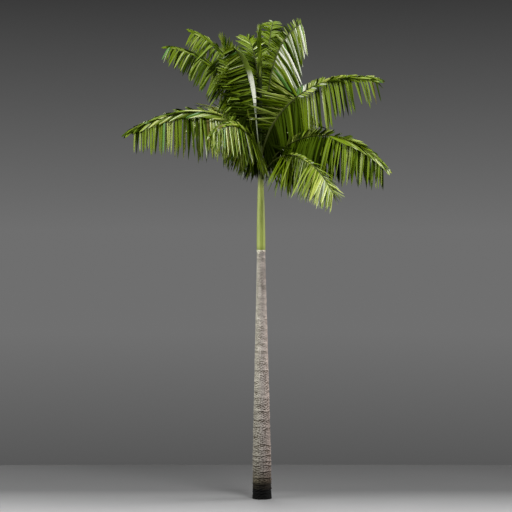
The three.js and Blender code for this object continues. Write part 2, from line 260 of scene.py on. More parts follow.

# Fronds, with the midribs of the solids. Angles are in degrees, and shares are of the midrib. A pair for
# the rows has the right row first.
# heading, rise, pitch and length: the midrib's way, its foot's height, its slopes and its length
# spread: the leaflets' angles to the midrib, from the stalk to the tip
# hang and other: gravity's pull at the stalk and at the tip, and that on the left row where it differs
# band, first and sparse: where the band and the leaflets begin, and from where fewer leaflets hang
# roll and hold: the blade's turn about the midrib, and the share as far as which it lasts in full
# vee: the rise of both rows from the blade's plane
# reach and light: the rows' lengths over the usual, and how far their tints move towards the bright ones as
# painted light
# heart: how far out the painted shade of the crown's heart reaches in the rows, where it isn't the usual
# share
# tuft: the two shares between which the whole band stands up in sprigs, tinted with painted highlights
Frond = namedtuple(
    "Frond",
    "name heading rise pitch length spread hang other "
    "band roll vee first reach hold sparse light heart tuft",
    defaults=(None, 0, 0, 0, 0.08, (1, 1), 0.5, 0.45, (0, 0), None, (0, 0)),
)
FRONDS = (
    Frond("right_low", -18, 7.88, (77, 2, -50), 4.05, (95, 110, 50), (2.2, 3.8), first=0.28, sparse=0.6,
          reach=(1.2, 1.15), light=(0.35, 0), heart=(1.2, 1.2), tuft=(0, 0.54)),
    Frond("front_right_low", -46, 7.82, (78, -16, -56), 3.3, (102, 80, 55), (0.2, 2.4), (2.6, 0.3), band=1,
          roll=54, first=0.3, reach=(0.9, 0.62), light=(1, 0.4), heart=(0.8, 0.8), tuft=(0.36, 0.62)),
    Frond("back_right_low", 55, 8.05, (80, 8, -44), 3.86, (78, 28), (3.5, 4.0), first=0.15,
          heart=(0.3, 0.3)),
    Frond("back_left_low", 127, 8.18, (82, 22, -35), 3.96, (78, 28), (0.3, 1.2), vee=55, first=0.15,
          light=(0.7, 0.7), heart=(0.3, 0.3)),
    Frond("back_low", 91, 8.22, (80, 18, -45), 3.86, (78, 28), (3.5, 4.0), first=0.15,
          heart=(0.3, 0.3)),
    Frond("front_left_low", 238, 8.16, (84, 16, -38), 2.96, (78, 28), (3.0, 3.0), vee=25, first=0.15,
          reach=(0.93, 0.93), light=(0.3, 0.3), heart=(0.2, 0.2)),
    Frond("left_low", 190, 8.3, (90, 7, -30), 4.2, (85, 100, 50), (4.0, 4.0), sparse=0.55,
          reach=(1.13, 1.13), light=(0.15, 0.15), heart=(0.32, 0.32), tuft=(0.1, 0.28)),
    Frond("right_middle", -8, 8.43, (83, 34, -14), 4.02, (90, 110, 112, 65, 35), (2.6, 2.8), (0.1, 0.4),
          band=0.47, roll=95, sparse=0.82, reach=(1.3, 0.92), light=(0.05, 0.9), heart=(0.7, 0.42),
          tuft=(0.47, 0.64)),
    Frond("left_middle", 170, 8.48, (75, 55, 6), 3.98, (80, 34), (1.6, 2.6), sparse=1),
    Frond("right_high", 31, 8.48, (75, 80, 29), 3.83, (95, 60), (0.1, 5.0), (0.3, 0.3), band=1, roll=70,
          hold=1, reach=(1.96, 0.45)),
    Frond("front_high", 227, 8.5, (72, 79, 31), 2.93, (86, 60), (0.5, 0.4), band=1, roll=125, hold=1,
          vee=80, reach=(0.85, 0.8), light=(0.2, 0.2), heart=(0.9, 0.9)),
    Frond("left_high", 157, 8.52, (75, 66, 20), 3.95, (82, 40), (1.2, 2.2), sparse=1, reach=(1.1, 1.1)),
    Frond("back_left_high", 116, 8.52, (69, 88, 33), 3.31, (86, 26), (0.6, 0.3), band=1, reach=(1.2, 0.8),
          heart=(0.9, 0.9)),
    Frond("back_high", 74, 8.6, (67, 78, 51), 3.68, (86, 26), (1.1, 0.8), (1.1, 0.5), band=1,
          reach=(0.78, 1.05), heart=(1, 1)),
    Frond("front_left_high", 204, 8.68, (71, 70, 60), 2.85, (86, 26), (0.25, 0.3), band=1, roll=130, vee=40,
          reach=(0.7, 0.7), light=(0.3, 0.3), heart=(1, 1)),
)
# The right row's pale undersides carry a painted highlight in the near-white pale tint
PALE_PAINTED_HIGHLIGHT_FROND = "right_high"  # its turned blade shows pale undersides in the right row

# Leaf tints, the deepest first. shade is a painted shade; grey is partly a painted highlight, and pale is a
# painted highlight on pale undersides. shares are of the sprays on arching, upright, bright and pale
# fronds.
Tint = namedtuple("Tint", "colour roughness gloss shares")
TINTS = {
    # shade: painted shade, near black, for the heart and dark gaps
    "shade": Tint((0.0095, 0.0165, 0.0002), 0.6, 0.01, (0.05, 0.12, 0, 0.03)),
    "deep": Tint((0.033, 0.058, 0.0004), 0.5, 0.03, (0.21, 0.2, 0.06, 0.14)),
    "mid": Tint((0.103, 0.156, 0.0016), 0.42, 0.14, (0.36, 0.55, 0.16, 0.28)),
    "lime": Tint((0.172, 0.228, 0.02), 0.38, 0.6, (0.25, 0.1, 0.42, 0.2)),
    "yellow": Tint((0.27, 0.315, 0.045), 0.36, 0.65, (0.06, 0.01, 0.3, 0.04)),
    "fresh": Tint((0.065, 0.17, 0.018), 0.4, 0.35, (0.035, 0.035, 0.03, 0.05)),
    "grey": Tint((0.27, 0.31, 0.19), 0.35, 0.4, (0.035, 0.015, 0.06, 0.14)),
    "pale": Tint((0.66, 0.68, 0.55), 0.35, 0.5, (0, 0, 0, 0.25)),
    "brown": Tint((0.09, 0.078, 0.009), 0.5, 0.15, (0.02, 0, 0.01, 0)),
}

# Camera: the photograph's viewing angle
CAMERA_PLACE = (-0.15, -35.55, 6.05)
CAMERA_LENS = 100
CAMERA_SENSOR = 36
CAMERA_SIGHT = 200

# Stage. Greys are pairs of a place and the grey there.
FLOOR_HALF_WIDTH = 16
FLOOR_HALF_DEPTH = 5.7
FLOOR_POINTS = 128
FLOOR_DROP = 0.002
# Painted light falloff on the floor, darker towards the back
FLOOR_PAINTED_FALLOFF_FROM = -2.5
FLOOR_PAINTED_FALLOFF = ((0, 0.225), (0.45, 0.066), (1, 0.04))  # from there to the back
FLOOR_CLOUDS = ((0.3, 0.95), (0.7, 1))  # by the value of its noise
BACKDROP_HALF_HEIGHT = 0.18  # over its distance
BACKDROP_GREYS = ((0, 0.07), (0.35, 0.16), (0.55, 0.158), (0.8, 0.09), (1, 0.04))  # upwards

# Soft suns: a place in the direction that the light comes from, its strength, and its width in degrees
SUNS = {
    "key": ((6, -10, 14), 3.85, 20),
    "top": ((1, 1, 20), 1.2, 60),
    "rim": ((13, 2, 6), 3.6, 25),
    "left": ((-14, -5, 5), 3.9, 40),
    "back": ((-5, 14, 8), 1.8, 40),
}


def jitter(n):
    """A repeatable number from -1 to 1 for each whole number."""
    wave = np.sin(n * 12.9898 + 4.1414) * 43758.5453
    return 2 * (wave - np.floor(wave)) - 1


def unit(vectors):
    return vectors / np.linalg.norm(vectors, axis=-1, keepdims=True)


def smooth(share):
    """A soft step from 0 to 1."""
    share = np.clip(share, 0, 1)
    return share * share * (3 - 2 * share)


def between(pair, share):
    """The value at a share of the way from the first to the second."""
    low, high = pair
    return low + (high - low) * share


def axis_x(height):
    """Where the leaning axis stands at a height."""
    return -LEAN * height / SHOULDER_HEIGHT


def add_object(name, data):
    added = bpy.data.objects.new(name, data)
    bpy.context.scene.collection.objects.link(added)
    return added


def add_mesh(name, vertices, faces, material):
    mesh = bpy.data.meshes.new(name)
    mesh.from_pydata(vertices, [], faces)
    mesh.materials.append(material)
    return add_object(name, mesh)


def add_piece(name, vertices, faces, material, nodes, crease):
    """A smooth mesh on the tree that stands for these nodes. Edges above crease degrees stay sharp."""
    piece = add_mesh(name, vertices, faces, material)
    piece.data.shade_smooth()
    piece.data.set_sharp_from_angle(angle=math.radians(crease))
    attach(piece, "root")
    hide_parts(*nodes)
    return piece


def round_angles(sides):
    return np.linspace(0, FULL_TURN, sides, endpoint=False)


def tube_points(middle, radius, angle, height):
    """Rings of points round an axis that stands at middle in X."""
    places = np.broadcast_arrays(middle + radius * np.cos(angle), radius * np.sin(angle), height)
    return np.stack(places, -1).reshape(-1, 3)


def tube_faces(rings, sides):
    """Quads between rings of points, and a flat cap at each end."""
    ring, side = np.meshgrid(np.arange(rings - 1), np.arange(sides), indexing="ij")
    low, high = ring * sides, (ring + 1) * sides
    after = (side + 1) % sides
    quads = np.stack((low + side, low + after, high + after, high + side), -1).reshape(-1, 4).tolist()
    return quads + [list(range(sides - 1, -1, -1)), list(range((rings - 1) * sides, rings * sides))]


def new_material(name):
    material = bpy.data.materials.new(name)
    material.use_nodes = True
    return material, material.node_tree, material.node_tree.nodes["Principled BSDF"]


def add_node(tree, kind, **values):
    """A shader node with its properties and inputs set."""
    node = tree.nodes.new(kind)
    for key, value in values.items():
        if hasattr(node, key):
            setattr(node, key, value)
        else:
            node.inputs[key.replace("_", " ").title()].default_value = value
    return node


def noise(tree, stretch, detail):
    """Noise over the tree's own coordinates: about stretch spots to a metre, along each axis."""
    place = add_node(tree, "ShaderNodeTexCoord")
    mapping = add_node(tree, "ShaderNodeMapping", scale=stretch)
    texture = add_node(tree, "ShaderNodeTexNoise", scale=1.0, detail=detail)
    tree.links.new(place.outputs["Object"], mapping.inputs["Vector"])
    tree.links.new(mapping.outputs["Vector"], texture.inputs["Vector"])
    return texture.outputs["Fac"]


def ramp(tree, factor, *stops):
    """Colours between stops of (place, colour)."""
    node = add_node(tree, "ShaderNodeValToRGB")
    elements = node.color_ramp.elements
    while len(elements) < len(stops):
        elements.new(1)
    for element, (place, colour) in zip(elements, stops):
        element.position = place
        element.color = (*colour, 1)
    tree.links.new(factor, node.inputs["Fac"])
    return node.outputs["Color"]


def grey_ramp(tree, factor, stops):
    return ramp(tree, factor, *((place, (grey, grey, grey)) for place, grey in stops))


def multiply(tree, colour, *others):
    """Colours multiplied with each other."""
    for other in others:
        node = add_node(tree, "ShaderNodeMix", data_type="RGBA", blend_type="MULTIPLY", factor=1.0)
        tree.links.new(colour, node.inputs["A"])
        tree.links.new(other, node.inputs["B"])
        colour = node.outputs["Result"]
    return colour


def spread_to(tree, value, low, high, to_low=0, to_high=1):
    """A value carried from one range to another."""
    node = add_node(tree, "ShaderNodeMapRange", from_min=low, from_max=high, to_min=to_low, to_max=to_high)
    tree.links.new(value, node.inputs["Value"])
    return node.outputs["Result"]


def set_gloss(shader, roughness, specular):
    shader.inputs["Roughness"].default_value = roughness
    shader.inputs["Specular IOR Level"].default_value = specular


def add_bump(tree, shader, height, strength, distance):
    bump = add_node(tree, "ShaderNodeBump", strength=strength, distance=distance)
    tree.links.new(height, bump.inputs["Height"])
    tree.links.new(bump.outputs["Normal"], shader.inputs["Normal"])


def attribute(tree, name):
    return add_node(tree, "ShaderNodeAttribute", attribute_name=name).outputs["Fac"]


def coordinate(tree, axis, kind="Object"):
    place = add_node(tree, "ShaderNodeTexCoord")
    parts = add_node(tree, "ShaderNodeSeparateXYZ")
    tree.links.new(place.outputs[kind], parts.inputs["Vector"])
    return parts.outputs[axis]


def bark_material():
    """Grey bark: paler on ring scars, with painted shade in creases and wrinkle hollows, painted light and
    shade across its sides, soil-stained at the foot.
    """
    material, tree, shader = new_material("bark")
    dark, pale = (0.275, 0.255, 0.244), (0.44, 0.412, 0.395)
    patches = ramp(tree, noise(tree, (5, 5, 14), 6), (0.3, dark), (0.7, pale))
    # Painted side light and shade: the left side paler and greener, the right darker and pinker
    left, middle, right = (0.95, 0.98, 0.87), (0.9, 0.88, 0.85), (0.84, 0.75, 0.71)
    across = spread_to(tree, coordinate(tree, "X"), -PAINTED_SIDE_LIGHT_HALF_WIDTH, PAINTED_SIDE_LIGHT_HALF_WIDTH)
    sides = ramp(tree, across, (0.1, left), (0.5, middle), (1, right))
    # Relief tones: painted shade in creases and wrinkle hollows, paler rims and a pale collar
    crease, plain, rim, collar = (0.2, 0.17, 0.13), (0.9, 0.89, 0.87), (1.25, 1.22, 1.18), (2.1, 2.1, 1.9)
    relief = ramp(tree, attribute(tree, "relief"), (0.12, crease), (0.5, plain), (0.85, rim), (1, collar))
    height = coordinate(tree, "Z")
    old = (0.34, 0.335, 0.335)
    age = ramp(tree, spread_to(tree, height, 0, OLD_BARK_HEIGHT), (0, old), (1, WHITE))
    edge = add_node(tree, "ShaderNodeMath", operation="MULTIPLY_ADD")
    tree.links.new(noise(tree, (9, 9, 9), 4), edge.inputs[0])
    edge.inputs[1].default_value = STAIN_RAGGED
    tree.links.new(spread_to(tree, height, 0, STAIN_HEIGHT), edge.inputs[2])
    wet, damp = (0.006, 0.006, 0.006), (0.06, 0.052, 0.04)
    soil, dust = (0.1, 0.09, 0.065), (0.42, 0.39, 0.31)
    stops = (0.32, wet), (0.37, damp), (0.5, soil), (0.58, dust), (0.95, WHITE)
    stain = ramp(tree, edge.outputs["Value"], *stops)
    tree.links.new(multiply(tree, patches, sides, relief, age, stain), shader.inputs["Base Color"])
    set_gloss(shader, roughness=0.85, specular=0.08)
    add_bump(tree, shader, noise(tree, (60, 60, 110), 5), strength=0.5, distance=0.003)
    return material


def sheath_material():
    """Waxy green sheath with fine fibres along it, and painted shade where it runs into the crown."""
    material, tree, shader = new_material("sheath")
    fibres = noise(tree, (36, 36, 0.9), 4)
    green = ramp(tree, fibres, (0.3, (0.22, 0.26, 0.045)), (0.7, (0.31, 0.35, 0.09)))
    clouds = ramp(tree, noise(tree, (3, 3, 1.4), 2), (0.3, (0.85, 0.9, 0.8)), (0.7, (1.1, 1.08, 1.1)))
    height = coordinate(tree, "Z")
    above_foot = spread_to(tree, height, SHEATH_FOOT, SHEATH_FOOT + SHEATH_DARK_FOOT)
    foot = ramp(tree, above_foot, (0, (0.6, 0.62, 0.4)), (1, WHITE))
    # Painted shade of the crown on the column's top
    into_heart = spread_to(tree, height, *(SHOULDER_HEIGHT + rise for rise in SHEATH_PAINTED_SHADE_HEIGHTS))
    heart = ramp(tree, into_heart, (0, WHITE), (1, (0.12, 0.14, 0.08)))
    tree.links.new(multiply(tree, green, clouds, foot, heart), shader.inputs["Base Color"])
    tree.links.new(spread_to(tree, fibres, 0.2, 0.8, 0.38, 0.52), shader.inputs["Roughness"])
    shader.inputs["Specular IOR Level"].default_value = 0.35
    add_bump(tree, shader, noise(tree, (150, 150, 2), 3), strength=0.2, distance=0.002)
    return material


def midrib_material():
    """Faintly streaked olive midrib."""
    material, tree, shader = new_material("midrib")
    dark, light = (0.022, 0.032, 0.004), (0.055, 0.066, 0.01)
    streaks = ramp(tree, noise(tree, (7, 7, 7), 4), (0.3, dark), (0.7, light))
    tree.links.new(streaks, shader.inputs["Base Color"])
    set_gloss(shader, roughness=0.6, specular=0.12)
    add_bump(tree, shader, noise(tree, (90, 90, 90), 3), strength=0.15, distance=0.002)
    return material


def broad_midrib_material():
    """The broad midrib's back: olive at the foot, pale in the middle with a painted highlight, green
    towards the tip.
    """
    material, tree, shader = new_material("broad_midrib")
    olive, grey, pale, green = (0.05, 0.07, 0.008), (0.3, 0.33, 0.24), (0.9, 0.9, 0.8), (0.2, 0.28, 0.03)
    # The pale, near-white middle is a painted highlight
    stops = (0.12, olive), (0.22, grey), (0.42, grey), (0.48, pale), (0.66, pale), (0.72, green)
    painted_light_tones = ramp(tree, spread_to(tree, coordinate(tree, "Z"), *BROAD_PAINTED_HIGHLIGHT_HEIGHTS), *stops)
    dull, clear = (0.8, 0.84, 0.7), (1.05, 1.05, 1.05)
    streaks = ramp(tree, noise(tree, (30, 30, 3), 4), (0.3, dull), (0.7, clear))
    tree.links.new(multiply(tree, painted_light_tones, streaks), shader.inputs["Base Color"])
    set_gloss(shader, roughness=0.4, specular=0.4)
    add_bump(tree, shader, noise(tree, (120, 120, 6), 3), strength=0.2, distance=0.003)
    return material


def spear_material():
    """The young leaf: green at its top, with painted shade making it deep green down between the fronds."""
    material, tree, shader = new_material("spear")
    # Painted shade: darker down between the fronds
    height = spread_to(tree, coordinate(tree, "Z"), HEART_HEIGHT, SPEAR_TOP)
    painted_light_tones = ramp(tree, height, (0.55, (0.012, 0.02, 0.001)), (0.9, (0.1, 0.15, 0.005)))
    streaks = ramp(tree, noise(tree, (40, 40, 2), 3), (0.3, (0.8, 0.85, 0.75)), (0.7, (1.1, 1.1, 1.1)))
    tree.links.new(multiply(tree, painted_light_tones, streaks), shader.inputs["Base Color"])
    set_gloss(shader, roughness=0.5, specular=0.12)
    add_bump(tree, shader, noise(tree, (120, 120, 4), 3), strength=0.2, distance=0.002)
    return material


def leaf_material(name, tint):
    """Glossy leaflet of one tint, with an uneven surface."""
    material, tree, shader = new_material(name)
    shader.inputs["Base Color"].default_value = (*tint.colour, 1)
    shader.inputs["Specular IOR Level"].default_value = tint.gloss
    uneven = noise(tree, (22, 22, 22), 3)
    roughness = spread_to(tree, uneven, 0.25, 0.75, tint.roughness - 0.07, tint.roughness + 0.09)
    tree.links.new(roughness, shader.inputs["Roughness"])
    add_bump(tree, shader, uneven, strength=0.06, distance=0.004)
    return material


def waves(rng, kind, angle, height):
    """A sum of seeded waves round and along the stem, mostly between -2 and 2."""
    fewest, most = kind.turns
    total = np.zeros(np.broadcast(angle, height).shape)
    for _ in range(kind.count):
        turns = rng.integers(fewest, most + 1) * rng.choice((-1, 1))
        pitch = rng.uniform(*kind.pitches)
        total += np.cos(turns * angle + pitch * height + rng.uniform(0, FULL_TURN))
    return total / math.sqrt(kind.count / 2)


def trunk_radius(height):
    taper = np.minimum(1, (1 - height / TRUNK_HEIGHT) / (1 - FOOT_SHARE))
    return NECK_RADIUS + (FOOT_RADIUS - NECK_RADIUS) * taper + FLARE * np.exp(-height / FLARE_REACH)


def from_ground(pair, share):
    """A size that falls off quickly up the trunk."""
    low, high = pair
    return high + (low - high) * (1 - share) ** 2


def ring_scars(rng, angle, height):
    """Scars of fallen leaves, wandering and uneven: the creases under them, and their rims."""
    creases = np.zeros(np.broadcast(angle, height).shape)
    rims = np.zeros_like(creases)
    middle = RING_FIRST
    while middle < TRUNK_HEIGHT - COLLAR_HEIGHT - RING_FIRST:
        wander = RING_WANDER * waves(rng, RING_WANDER_WAVES, angle, height)
        strength = RING_STRENGTH + RING_STRENGTH_JITTER * waves(rng, RING_STRENGTH_WAVES, angle, height)
        strength = np.clip(strength, *RING_STRENGTH_LIMITS)
        above = height - middle - wander
        slope = np.where(above > 0, CREASE_ABOVE, CREASE_BELOW)
        creases = np.maximum(creases, strength * np.exp(-np.abs(above) / slope))
        rims = np.maximum(rims, strength * np.exp(-(((above - RIM_ABOVE_CREASE) / RIM_HALF_WIDTH) ** 2)))
        spacing = between(RING_SPACING, middle / TRUNK_HEIGHT)
        middle += spacing * (1 + RING_SPACING_JITTER * rng.uniform(-1, 1))
    return creases, rims


def build_trunk():
    rng = np.random.default_rng(BARK_SEED)
    rings = round(TRUNK_HEIGHT / BARK_STEP) + 1
    height = np.linspace(0, TRUNK_HEIGHT, rings)[:, None]
    angle = round_angles(BARK_SIDES)[None, :]
    share = height / TRUNK_HEIGHT

    # Wrinkles and ring scars
    wrinkles = FLAT_WRINKLE_SHARE * waves(rng, FLAT_WRINKLES, angle, height)
    wrinkles += np.abs(waves(rng, STEEP_WRINKLES, angle, height)) - STEEP_WRINKLE_MIDDLE
    patchy = np.clip(PATCH_DEPTH + PATCH_JITTER * waves(rng, PATCH_WAVES, angle, height), *PATCH_LIMITS)
    depth = from_ground(WRINKLE_DEPTH, share)
    creases, rims = ring_scars(rng, angle, height)
    relief = depth * patchy * wrinkles + FISSURE * waves(rng, FISSURE_WAVES, angle, height)
    # Painted shade: darker in wrinkle hollows and creases, paler on raised wrinkles
    painted_shade_and_collar_tone = np.minimum(WRINKLE_TONE + relief / (TONE_DEPTHS * depth), WRINKLE_PALEST)
    painted_shade_and_collar_tone = painted_shade_and_collar_tone - from_ground(CREASE_PAINTED_SHADE, share) * creases + RIM_TONE * rims
    relief = relief - from_ground(CREASE_DEPTH, share) * creases + from_ground(RIM_HEIGHT, share) * rims

    # Collar
    edge = TRUNK_HEIGHT - COLLAR_HEIGHT + COLLAR_WANDER * waves(rng, COLLAR_WANDER_WAVES, angle, height)
    collar = smooth((height - edge) / (COLLAR_EASE * COLLAR_HEIGHT))
    pale = smooth((height - edge + COLLAR_STAIN) / COLLAR_STAIN)
    painted_shade_and_collar_tone = painted_shade_and_collar_tone + pale * (COLLAR_TONE + COLLAR_TONE_JITTER * waves(rng, COLLAR_TONE_WAVES, angle, height))

    radius = trunk_radius(height) + relief * (1 - COLLAR_COVER * collar) + COLLAR_PROUD * collar
    radius = np.where(height > 0, radius, trunk_radius(height))
    points = tube_points(axis_x(height), radius, angle, height)
    faces = tube_faces(rings, BARK_SIDES)
    trunk = add_piece("trunk_bark", points, faces, bark_material(), ["trunk"], crease=60)
    # The relief attribute carries these tones with their painted shade
    layer = trunk.data.attributes.new("relief", "FLOAT", "POINT")
    layer.data.foreach_set("value", np.clip(painted_shade_and_collar_tone, 0, 1).ravel())


def column_radius(height):
    """The crownshaft's radius, and the heart's above the shoulder."""
    share = np.clip((height - SHEATH_FOOT) / (SHOULDER_HEIGHT - SHEATH_FOOT), 0, 1)
    sheath = SHEATH_RADIUS + (SHOULDER_RADIUS - SHEATH_RADIUS) * share**SHEATH_TAPER
    sheath = sheath + SHEATH_SWELL * np.sin(math.pi * share)
    rise = np.clip((height - SHOULDER_HEIGHT) / (HEART_HEIGHT - SHOULDER_HEIGHT), 0, 1)
    return sheath + (HEART_RADIUS - SHOULDER_RADIUS) * rise


def build_crownshaft():
    """The rolled sheaths: each one's margin stands proud and winds slowly round the column."""
    rng = np.random.default_rng(SHEATH_SEED)
    rings = round((HEART_HEIGHT - SHEATH_FOOT) / SHEATH_STEP) + 1
    height = np.linspace(SHEATH_FOOT, HEART_HEIGHT, rings)[:, None]
    angle = round_angles(SHEATH_SIDES)[None, :]
    radius = column_radius(height) + SHEATH_FIBRE * waves(rng, SHEATH_FIBRE_WAVES, angle, height)
    for start, turn in SHEATH_MARGINS:
        round_share = np.mod(angle - start - turn * (height - SHEATH_FOOT), FULL_TURN) / FULL_TURN
        radius = radius + SHEATH_OVERLAP * (round_share - 0.5)
    points = tube_points(axis_x(height), radius, angle, height)
    faces = tube_faces(rings, SHEATH_SIDES)
    add_piece("crownshaft_sheaths", points, faces, sheath_material(), ["crownshaft"], crease=40)


def spear_axis(share):
    """The spear leaf's leaning axis, from its foot to its tip."""
    return between((axis_x(SPEAR_FOOT), SPEAR_TIP_X), share), between((SPEAR_FOOT, SPEAR_TOP), share)


def build_spear():
    """The young leaf, still folded in pleats and slightly twisted."""
    share = np.linspace(0, 1, SPEAR_STEPS + 1)[:, None]
    angle = round_angles(SPEAR_SIDES)[None, :]
    fold = 2 * np.abs(np.mod(angle * SPEAR_PLEATS / FULL_TURN, 1) - 0.5)
    swell = SPEAR_FOOT_RADIUS + SPEAR_SWELL * np.sin(math.pi * share)
    swell = swell * (1 - SPEAR_TAPER * share**SPEAR_TAPER_POWER)
    radius = swell * (1 - SPEAR_PLEAT_DEPTH * fold)
    middle, height = spear_axis(share)
    points = tube_points(middle, radius, angle + SPEAR_TWIST * share, height)
    faces = tube_faces(SPEAR_STEPS + 1, SPEAR_SIDES)
    add_piece("spear_leaf_pleats", points, faces, spear_material(), ["spear_leaf"], crease=30)


def pitch_at(pitch, share):
    """A midrib's slope, on a curve through its slopes at the foot, halfway and at the tip."""
    foot, halfway, tip = pitch
    slope = 2 * foot * (share - 0.5) * (share - 1) + 4 * halfway * share * (1 - share)
    return slope + 2 * tip * share * (share - 0.5)


def direction_at(frond, share):
    slope = np.radians(pitch_at(frond.pitch, share))
    ahead = math.radians(frond.heading)
    return np.stack([np.cos(slope) * math.cos(ahead), np.cos(slope) * math.sin(ahead), np.sin(slope)], -1)


def midrib(frond, share):
    """The midrib at these shares along it: points, directions, and the blade's side and upper ways."""
    steps = direction_at(frond, (np.arange(CURVE_STEPS) + 0.5) / CURVE_STEPS) * frond.length / CURVE_STEPS
    places = np.vstack([[axis_x(frond.rise), 0, frond.rise], steps]).cumsum(0)
    knots = np.linspace(0, 1, CURVE_STEPS + 1)
    points = np.stack([np.interp(share, knots, places[:, i]) for i in range(3)], -1)
    along = direction_at(frond, share)
    ahead = math.radians(frond.heading)
    level = np.array([math.sin(ahead), -math.cos(ahead), 0])
    turned = smooth(share / ROLL_WHOLE_FROM) * (1 - smooth((share - frond.hold) / ROLL_EASE))
    turn = (math.radians(frond.roll) * turned)[:, None]
    side = level * np.cos(turn) + np.cross(along, level) * np.sin(turn)
    return points, along, side, np.cross(side, along)


def build_midribs(name, fronds, swell, material, nodes):
    """The fronds' stalks and midribs: rounded below, flatter above, widening into the foot."""
    share = np.linspace(0, 1, MIDRIB_STEPS + 1)
    turn = round_angles(MIDRIB_SIDES)
    across = np.cos(turn)
    over = np.where(np.sin(turn) > 0, MIDRIB_CHANNEL, 1) * np.sin(turn)
    left = (1 - share) ** MIDRIB_TAPER
    foot = FOOT_WIDENING * np.exp(-share / FOOT_WIDENING_REACH)
    back = swell * smooth((share - BROAD_FROM) / BROAD_EASE) * smooth((1 - share) / BROAD_TIP_EASE)
    half_width = MIDRIB_TIP + (STALK_HALF_WIDTH - MIDRIB_TIP) * left + foot
    half_depth = MIDRIB_TIP + (STALK_HALF_DEPTH - MIDRIB_TIP) * left + back
    template = tube_faces(MIDRIB_STEPS + 1, MIDRIB_SIDES)
    vertices, faces = [], []
    for count, frond in enumerate(fronds):
        points, _, side, up = midrib(frond, share)
        ring = points[:, None] + side[:, None] * (half_width[:, None] * across)[..., None]
        ring = ring + up[:, None] * (half_depth[:, None] * over)[..., None]
        vertices.append(ring.reshape(-1, 3))
        start = count * len(share) * MIDRIB_SIDES
        faces += [[start + corner for corner in face] for face in template]
    add_piece(name, np.vstack(vertices), faces, material, nodes, crease=50)


def uprightness(frond):
    """From 0 for an arching frond to 1 for an upright one."""
    return float(np.clip(frond.pitch[1] / UPRIGHT_PITCH, 0, 1))


def by_uprightness(pair, frond):
    """A frond's value between those for arching and for upright ones."""
    return between(pair, uprightness(frond))


def leaflet_length(frond, share):
    inner = 1 - FOOT_SHORTER * (1 - share / LONGEST_AT) ** 2
    outer = 1 - by_uprightness(TIP_SHORTER, frond) * ((share - LONGEST_AT) / (1 - LONGEST_AT)) ** 2
    return by_uprightness(LEAFLET_LENGTH, frond) * np.where(share < LONGEST_AT, inner, outer)


def in_tuft(frond, share):
    start, end = frond.tuft
    return (share >= start) & (share < end)


def lies_along(frond, row, share, index, side):
    """Which leaflets lie along the midrib, and which of those are in an upper row or stand up as sprigs."""
    tufted = in_tuft(frond, share)
    hanging = index % len(RANKS) < np.where(share < frond.sparse, *HANGING_RANKS)
    upper = ROW_SIGNS[row] * side[:, 2] > UPPER_ROW
    banded = (tufted | (share >= frond.band)) & (upper | ~hanging)
    sprig = tufted | (index // len(RANKS) % SPRIG_EVERY == 0)
    return banded, banded & upper, banded & sprig


def line_points(root, ways, length):
    """Points of lines from their roots along their ways, in equal steps."""
    moves = ways * (length / LEAFLET_STEPS)[:, None, None]
    return np.concatenate([root[:, None], root[:, None] + moves.cumsum(1)], 1)


def leaflet_lines(frond, row, share, index, seed):
    """Centre lines of the leaflets in one row of a frond: each step leans further towards the ground."""
    root, along, side, up = midrib(frond, share)
    banded, upper, sprig = lies_along(frond, row, share, index, side)

    # The way that each leaflet leaves the midrib
    spread = np.interp(share, np.linspace(0, 1, len(frond.spread)), frond.spread)
    spread = spread + by_uprightness(SPREAD_JITTER, frond) * jitter(seed)
    spread = spread * np.where(sprig, SPRIG_SPREAD, np.where(banded, BAND_SPREAD, 1))
    spread = np.radians(spread)[:, None]
    rank = np.take(RANKS, index % len(RANKS)) + RANK_JITTER * jitter(seed + RANK_SEED)
    rank = by_uprightness(RANK_SCALE, frond) * rank
    rank = np.where(banded, np.take(BAND_RANKS, index % len(BAND_RANKS)), rank)
    rank = np.where(sprig, np.where(upper, UPPER_SPRIG_RANK, SPRIG_RANK), rank)
    rank = np.radians(rank + frond.vee)[:, None]
    outward = ROW_SIGNS[row] * side * np.cos(rank) + up * np.sin(rank)
    out = along * np.cos(spread) + outward * np.sin(spread)

    # Its length and width
    length = frond.reach[row] * leaflet_length(frond, share)
    length = length * (1 - LENGTH_JITTER * (0.5 + 0.5 * jitter(seed + LENGTH_SEED)))
    lying_length = np.where(banded, BAND_LENGTH, 1) * np.where(upper, UPPER_LENGTH, 1)
    length = length * np.where(sprig, SPRIG_LENGTH, lying_length)
    width = by_uprightness(LEAFLET_WIDTH, frond) * np.sqrt(length / LEAFLET_LENGTH[0])
    width = np.where(banded, np.where(sprig, SPRIG_WIDTH, BAND_WIDTH), width)
    width = width * (1 + WIDTH_JITTER * jitter(seed + WIDTH_SEED))

    # The way that it goes on, step by step
    hang = between((frond.hang, frond.other or frond.hang)[row], share**2)
    hang = hang * np.where(banded, BAND_HANG, 1 + HANG_JITTER * jitter(seed + HANG_SEED))
    step = (np.arange(LEAFLET_STEPS) + 0.5) / LEAFLET_STEPS
    pull = HANG_BEFORE_BEND + (1 - HANG_BEFORE_BEND) * smooth(step / (2 * BEND_AT))
    ways = unit(out[:, None] + (hang[:, None] * pull)[..., None] * np.array([0, 0, -1]))
    tangents = unit(np.concatenate([ways[:, :1], ways[:, :-1] + ways[:, 1:]], 1))
    return line_points(root, ways, length), tangents, along, width, banded


def clear_of_column(points):
    """Points inside the crownshaft move out to its skin."""
    height = np.clip(points[..., 2], SHEATH_FOOT, HEART_HEIGHT)
    middle = axis_x(height)
    apart = np.hypot(points[..., 0] - middle, points[..., 1])
    push = np.maximum((column_radius(height) + COLUMN_ROOM) / np.maximum(apart, COLUMN_ROOM), 1)
    push = np.where(points[..., 2] < HEART_HEIGHT, push, 1)
    return np.stack([middle + (points[..., 0] - middle) * push, points[..., 1] * push, points[..., 2]], -1)


